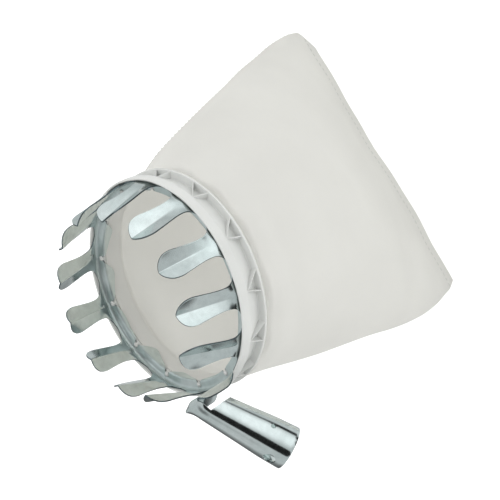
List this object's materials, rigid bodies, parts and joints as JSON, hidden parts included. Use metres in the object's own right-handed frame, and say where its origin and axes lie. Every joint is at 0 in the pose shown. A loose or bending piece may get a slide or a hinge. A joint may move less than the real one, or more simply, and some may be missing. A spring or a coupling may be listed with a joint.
{
  "type": "fruit picker basket",
  "caption": "Pole-mounted fruit picker with a fingered sheet-metal crown, a clip-on plastic ring and a sewn cloth catching bag.",
  "frame": {"origin": "centre of the crown's ring plate, on its front face", "axes": "+Z out of the mouth, the way the fingers point; +X towards the pole socket; -Z towards the bottom of the bag"},
  "size_m": [0.2892, 0.1612, 0.2838],
  "materials": {
    "zinc_sheet": "bright zinc plated, pale green-blue",
    "white_plastic": "satin moulded",
    "white_cloth": "plain weave cotton",
    "white_thread": "sewing thread"
  },
  "bodies": {
    "head": {"crown": "zinc_sheet"},
    "ring": {"bag_ring": "white_plastic"},
    "bag": {"bag_cloth": "white_cloth", "bottom_seam_thread": "white_thread", "side_seam_thread": "white_thread"}
  },
  "joints": [
    {"name": "ring_release", "type": "slide", "parent": "head", "child": "ring", "axis": [0, 0, -1], "range_m": [0, 0.03]},
    {"name": "bag_swing", "type": "hinge", "parent": "ring", "child": "bag", "pos_m": [0, 0, -0.017], "axis": [0, 1, 0], "range_deg": [-15, 35], "deforming": ["bag_cloth", "side_seam_thread"]}
  ]
}
